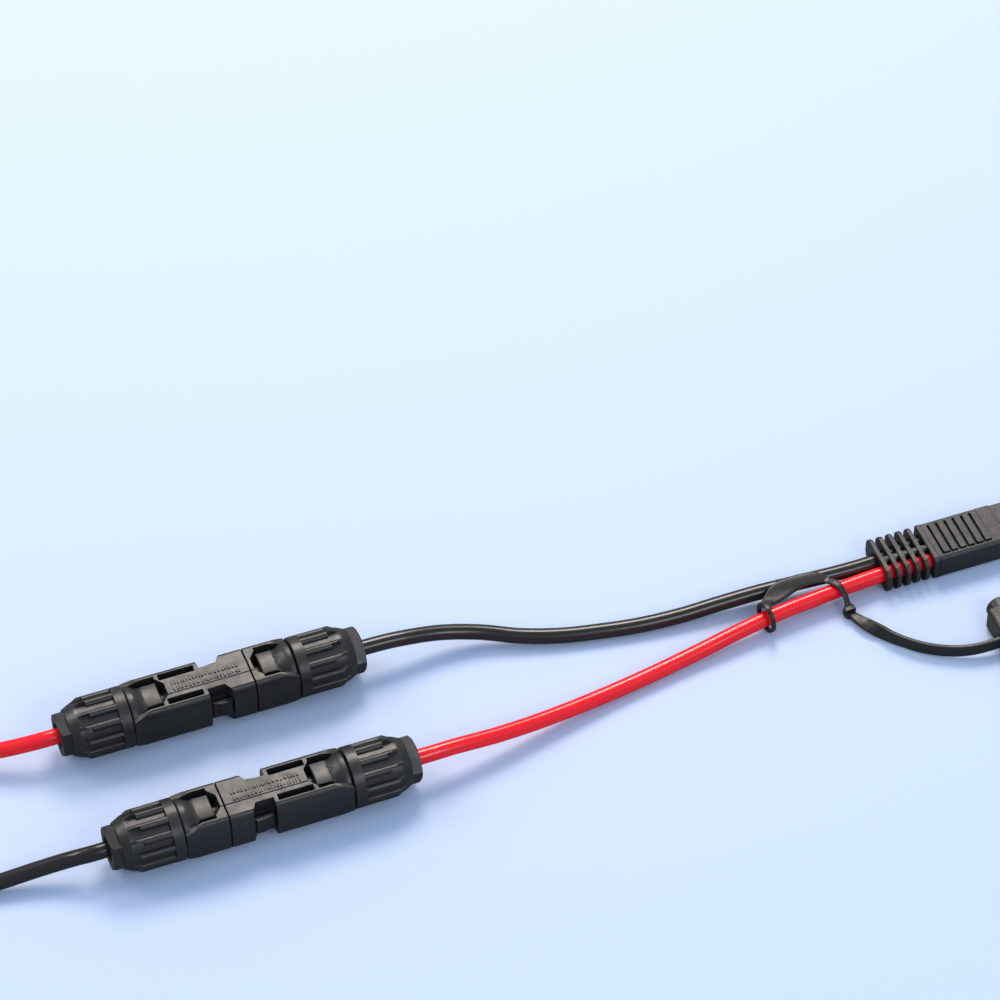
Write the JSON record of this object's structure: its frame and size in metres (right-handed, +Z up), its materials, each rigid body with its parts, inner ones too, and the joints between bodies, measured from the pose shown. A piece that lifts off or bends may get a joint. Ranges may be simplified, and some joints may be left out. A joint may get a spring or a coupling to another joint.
{
  "type": "solar cable connector",
  "caption": "Solar adapter lead: mated cable connectors with gland nuts and latches, red and black leads, and a flat polarised plug with slotted strain relief and tethered dust cap.",
  "frame": {"origin": "centre of the polarised plug's underside, on the plane everything rests on", "axes": "+Z up, +X the way the plug points, away from the leads; the red lead leaves the plug on the -Y side"},
  "size_m": [0.3782, 0.0825, 0.0195],
  "materials": {
    "housing": "satin moulded, fine grain",
    "nut": "satin moulded, fine grain",
    "latch": "satin moulded",
    "collet": "satin moulded",
    "seal": "matt rubber",
    "contact": "tin plated, satin",
    "copper": "bare stranded copper, satin",
    "jacket_red": "glossy extruded jacket",
    "jacket_black": "semi-gloss extruded jacket",
    "plug": "matt, fine spark texture",
    "tether": "matt rubber with a soft sheen"
  },
  "bodies": {
    "adapter": {"plug_body": "plug", "plug_pin": "contact", "plug_socket": "contact", "adapter_black_jacket": "jacket_black", "adapter_black_conductor": "copper", "adapter_red_jacket": "jacket_red", "adapter_red_conductor": "copper", "a_socket_housing": "housing", "a_socket_contact": "contact", "a_o_ring": "seal", "a_seal_adapter": "seal", "b_pin_housing": "housing", "b_pin_contact": "contact", "b_seal_adapter": "seal"},
    "a_panel_side": {"a_pin_housing": "housing", "a_pin_contact": "contact", "a_seal_panel": "seal", "a_panel_jacket": "jacket_red", "a_panel_conductor": "copper"},
    "b_panel_side": {"b_socket_housing": "housing", "b_socket_contact": "contact", "b_o_ring": "seal", "b_seal_panel": "seal", "b_panel_jacket": "jacket_black", "b_panel_conductor": "copper"},
    "a_latch_left": {"a_latch_left": "latch"},
    "a_latch_right": {"a_latch_right": "latch"},
    "b_latch_left": {"b_latch_left": "latch"},
    "b_latch_right": {"b_latch_right": "latch"},
    "tether_holder": {"tether_holder": "tether"},
    "tether": {"tether_strap": "tether", "dust_cap": "tether"},
    "a_collet_panel": {"a_collet_panel": "collet"},
    "a_nut_panel": {"a_nut_panel": "nut"},
    "a_collet_adapter": {"a_collet_adapter": "collet"},
    "a_nut_adapter": {"a_nut_adapter": "nut"},
    "b_collet_panel": {"b_collet_panel": "collet"},
    "b_nut_panel": {"b_nut_panel": "nut"},
    "b_collet_adapter": {"b_collet_adapter": "collet"},
    "b_nut_adapter": {"b_nut_adapter": "nut"}
  },
  "joints": [
    {"name": "a_unplug", "type": "slide", "parent": "adapter", "child": "a_panel_side", "axis": [-1, 0, 0], "range_m": [0, 0.027], "deforming": ["a_latch_left", "a_latch_right"]},
    {"name": "b_unplug", "type": "slide", "parent": "adapter", "child": "b_panel_side", "axis": [-1, 0, 0], "range_m": [0, 0.027], "deforming": ["b_latch_left", "b_latch_right"]},
    {"name": "a_squeeze_left", "type": "hinge", "parent": "adapter", "child": "a_latch_left", "pos_m": [-0.2416, 0.029, 0.00975], "axis": [0, 0, 1], "range_deg": [0, 2.5]},
    {"name": "a_squeeze_right", "type": "hinge", "parent": "adapter", "child": "a_latch_right", "pos_m": [-0.2416, 0.015, 0.00975], "axis": [0, 0, 1], "range_deg": [-2.5, 0]},
    {"name": "b_squeeze_left", "type": "hinge", "parent": "b_panel_side", "child": "b_latch_left", "pos_m": [-0.2679, -0.0325, 0.00975], "axis": [0, 0, 1], "range_deg": [0, 2.5]},
    {"name": "b_squeeze_right", "type": "hinge", "parent": "b_panel_side", "child": "b_latch_right", "pos_m": [-0.2679, -0.0185, 0.00975], "axis": [0, 0, 1], "range_deg": [-2.5, 0]},
    {"name": "a_nut_travel_panel", "type": "slide", "parent": "a_panel_side", "child": "a_collet_panel", "axis": [-1, 0, 0], "range_m": [0, 0.0045]},
    {"name": "a_nut_spin_panel", "type": "hinge", "parent": "a_collet_panel", "child": "a_nut_panel", "pos_m": [-0.2725, 0.022, 0.00975], "axis": [-1, 0, 0], "range_deg": [0, 1080]},
    {"name": "a_nut_travel_adapter", "type": "slide", "parent": "adapter", "child": "a_collet_adapter", "axis": [1, 0, 0], "range_m": [0, 0.0045]},
    {"name": "a_nut_spin_adapter", "type": "hinge", "parent": "a_collet_adapter", "child": "a_nut_adapter", "pos_m": [-0.2125, 0.022, 0.00975], "axis": [1, 0, 0], "range_deg": [0, 1080]},
    {"name": "b_nut_travel_panel", "type": "slide", "parent": "b_panel_side", "child": "b_collet_panel", "axis": [-1, 0, 0], "range_m": [0, 0.0045]},
    {"name": "b_nut_spin_panel", "type": "hinge", "parent": "b_collet_panel", "child": "b_nut_panel", "pos_m": [-0.297, -0.0255, 0.00975], "axis": [-1, 0, 0], "range_deg": [0, 1080]},
    {"name": "b_nut_travel_adapter", "type": "slide", "parent": "adapter", "child": "b_collet_adapter", "axis": [1, 0, 0], "range_m": [0, 0.0045]},
    {"name": "b_nut_spin_adapter", "type": "hinge", "parent": "b_collet_adapter", "child": "b_nut_adapter", "pos_m": [-0.237, -0.0255, 0.00975], "axis": [1, 0, 0], "range_deg": [0, 1080]},
    {"name": "holder_slide", "type": "slide", "parent": "adapter", "child": "tether_holder", "axis": [1, 0, 0], "range_m": [-0.003, 0.003]},
    {"name": "cap_swing", "type": "hinge", "parent": "tether_holder", "child": "tether", "pos_m": [-0.0539, -0.0124, 0.002], "axis": [0, 0, 1], "range_deg": [-12, 12]}
  ],
  "couplings": [
    {"joint": "a_nut_travel_panel", "follows": "a_nut_spin_panel", "m_per_rad": 0.00023873},
    {"joint": "a_nut_travel_adapter", "follows": "a_nut_spin_adapter", "m_per_rad": 0.00023873},
    {"joint": "b_nut_travel_panel", "follows": "b_nut_spin_panel", "m_per_rad": 0.00023873},
    {"joint": "b_nut_travel_adapter", "follows": "b_nut_spin_adapter", "m_per_rad": 0.00023873}
  ]
}
